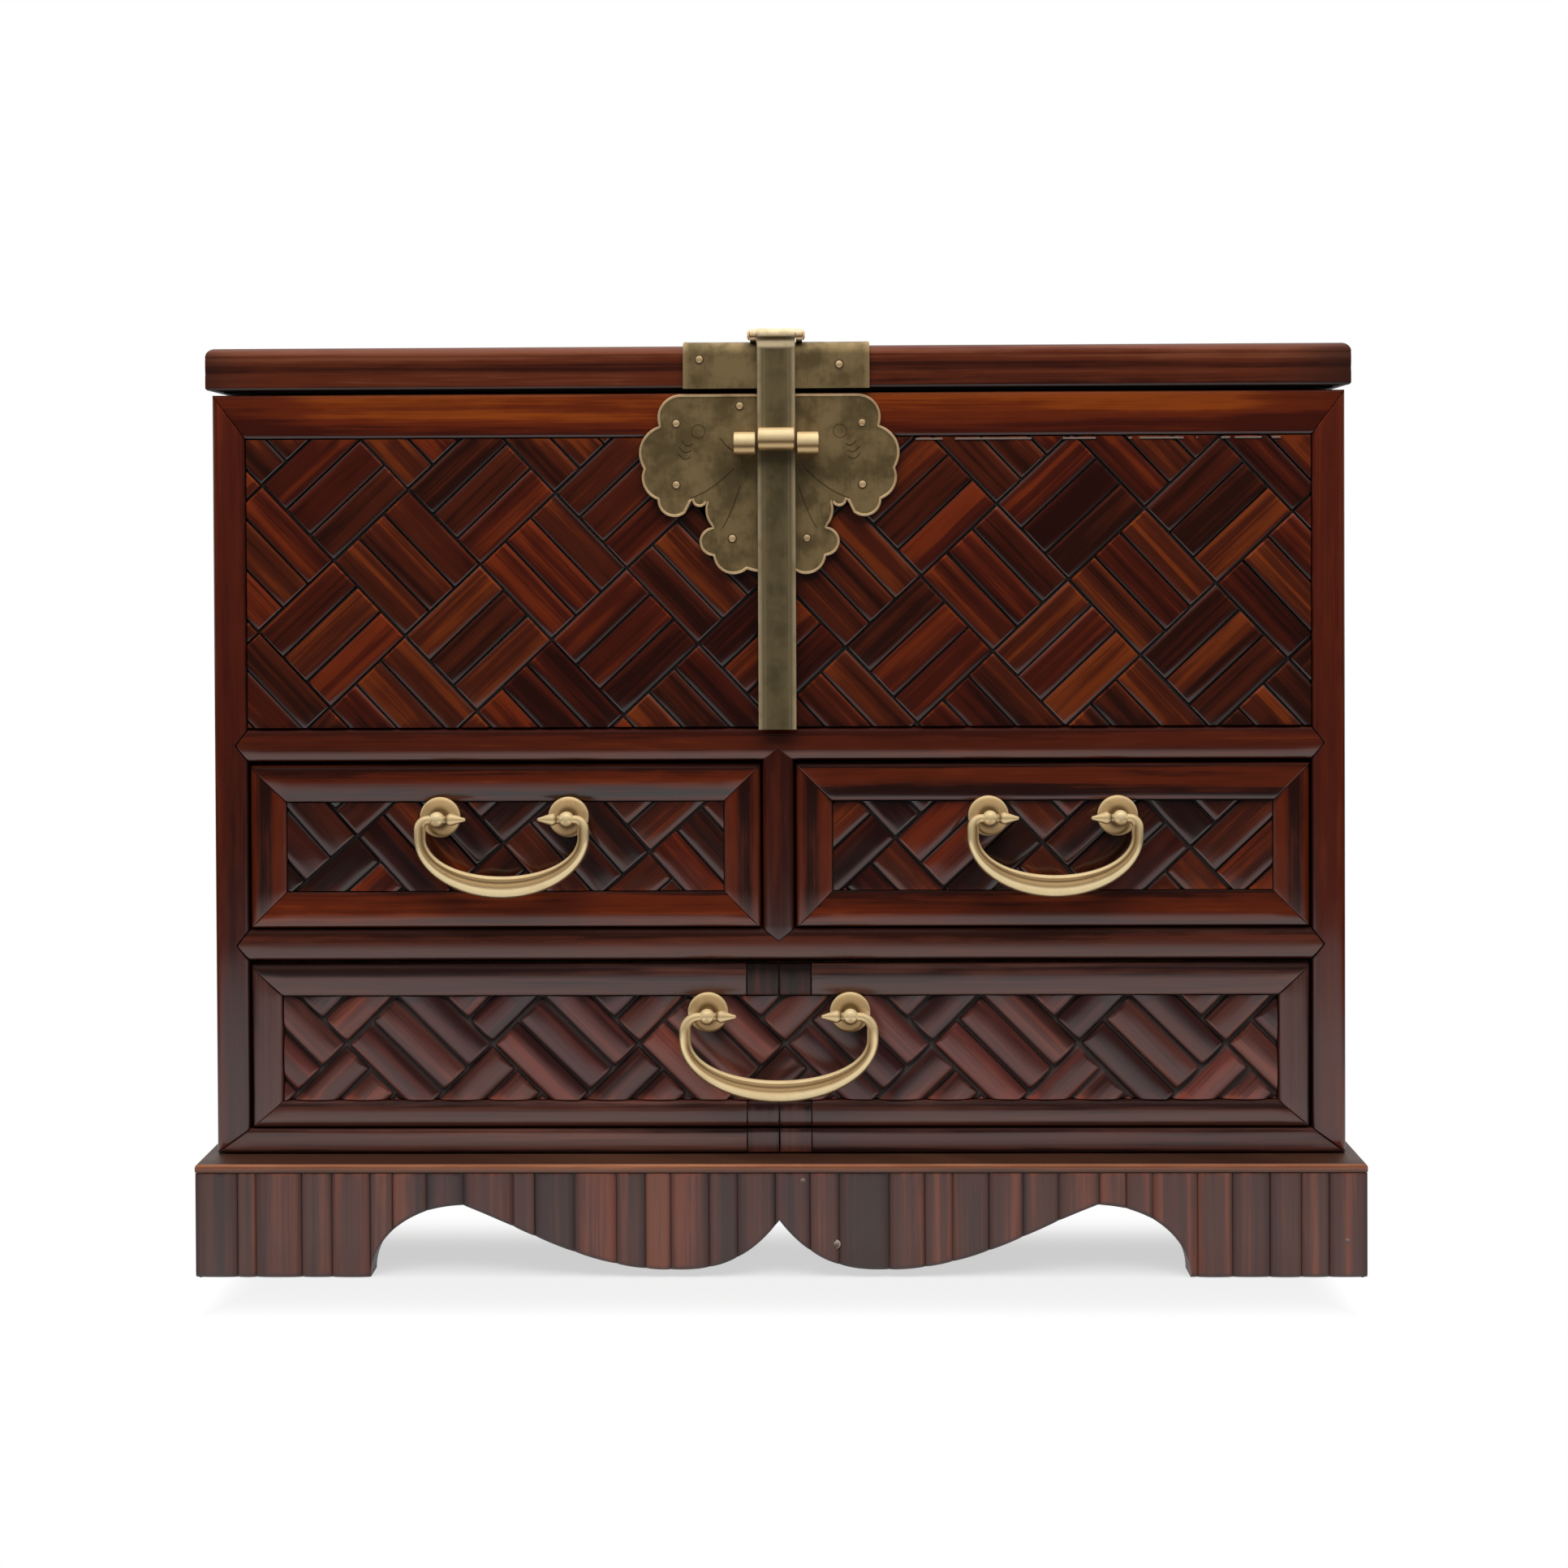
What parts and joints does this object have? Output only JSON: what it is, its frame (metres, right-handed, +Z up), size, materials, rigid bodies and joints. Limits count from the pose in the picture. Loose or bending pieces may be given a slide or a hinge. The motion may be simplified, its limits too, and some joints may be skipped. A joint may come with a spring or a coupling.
{
  "type": "treasure chest",
  "caption": "Table-top treasure chest with a hinged lid, hasp and lock plate, drawers with bail pulls, basket-weave strip facing and a shaped plinth.",
  "frame": {"origin": "under the middle of the plinth, on the surface that the chest stands on", "axes": "+X to the right as seen from the front, -Y out of the front, +Z up"},
  "size_m": [0.38, 0.249, 0.3083],
  "materials": {
    "lacquer": "gloss lacquer",
    "dark_lacquer": "gloss lacquer",
    "plinth_lacquer": "satin lacquer",
    "plain_wood": "matt",
    "plate_brass": "aged",
    "pull_brass": "polished"
  },
  "bodies": {
    "case": {"plinth_front_apron": "plinth_lacquer", "plinth_back_apron": "plinth_lacquer", "plinth_left_apron": "plinth_lacquer", "plinth_right_apron": "plinth_lacquer", "plinth_top_board": "plinth_lacquer", "bottom_board": "plain_wood", "left_side_board": "lacquer", "right_side_board": "lacquer", "left_side_frame": "dark_lacquer", "right_side_frame": "dark_lacquer", "back_board": "plain_wood", "front_board": "plain_wood", "compartment_floor": "plain_wood", "drawer_shelf": "plain_wood", "drawer_partition": "plain_wood", "main_parquetry": "lacquer", "left_stile": "dark_lacquer", "right_stile": "dark_lacquer", "top_rail": "lacquer", "middle_rail": "lacquer", "lower_rail": "lacquer", "bottom_rail": "lacquer", "drawer_post": "dark_lacquer", "lock_plate": "plate_brass", "left_hinge_body_leaf": "plate_brass", "right_hinge_body_leaf": "plate_brass", "left_hinge_pin": "plate_brass", "right_hinge_pin": "plate_brass"},
    "lid": {"lid_board": "lacquer", "lid_front_edge": "lacquer", "lid_back_edge": "lacquer", "lid_left_edge": "lacquer", "lid_right_edge": "lacquer", "left_hinge_lid_leaf": "plate_brass", "right_hinge_lid_leaf": "plate_brass", "hasp_bracket": "plate_brass", "hasp_pin": "pull_brass"},
    "hasp": {"hasp_strap": "plate_brass"},
    "left_drawer": {"left_drawer_box": "plain_wood", "left_drawer_bottom": "plain_wood", "left_drawer_frame": "dark_lacquer", "left_drawer_parquetry": "lacquer", "left_pull_left_post": "pull_brass", "left_pull_right_post": "pull_brass"},
    "right_drawer": {"right_drawer_box": "plain_wood", "right_drawer_bottom": "plain_wood", "right_drawer_frame": "dark_lacquer", "right_drawer_parquetry": "lacquer", "right_pull_left_post": "pull_brass", "right_pull_right_post": "pull_brass"},
    "long_drawer": {"long_drawer_box": "plain_wood", "long_drawer_bottom": "plain_wood", "long_drawer_frame": "dark_lacquer", "long_drawer_parquetry": "lacquer", "long_pull_left_post": "pull_brass", "long_pull_right_post": "pull_brass"},
    "left_bail": {"left_pull_bail": "pull_brass"},
    "right_bail": {"right_pull_bail": "pull_brass"},
    "long_bail": {"long_pull_bail": "pull_brass"}
  },
  "joints": [
    {"name": "lid_hinge", "type": "hinge", "parent": "case", "child": "lid", "pos_m": [0, 0.12185, 0.288], "axis": [-1, 0, 0], "range_deg": [0, 100]},
    {"name": "hasp_swing", "type": "hinge", "parent": "lid", "child": "hasp", "pos_m": [0, -0.11455, 0.30605], "axis": [-1, 0, 0], "range_deg": [0, 180]},
    {"name": "left_drawer_slide", "type": "slide", "parent": "case", "child": "left_drawer", "axis": [0, -1, 0], "range_m": [0, 0.16]},
    {"name": "right_drawer_slide", "type": "slide", "parent": "case", "child": "right_drawer", "axis": [0, -1, 0], "range_m": [0, 0.16]},
    {"name": "long_drawer_slide", "type": "slide", "parent": "case", "child": "long_drawer", "axis": [0, -1, 0], "range_m": [0, 0.16]},
    {"name": "left_bail_swing", "type": "hinge", "parent": "left_drawer", "child": "left_bail", "pos_m": [-0.0901, -0.1201, 0.1484], "axis": [-1, 0, 0], "range_deg": [0, 95]},
    {"name": "right_bail_swing", "type": "hinge", "parent": "right_drawer", "child": "right_bail", "pos_m": [0.0901, -0.1201, 0.1484], "axis": [-1, 0, 0], "range_deg": [0, 95]},
    {"name": "long_bail_swing", "type": "hinge", "parent": "long_drawer", "child": "long_bail", "pos_m": [0, -0.1201, 0.0839], "axis": [-1, 0, 0], "range_deg": [0, 95]}
  ]
}
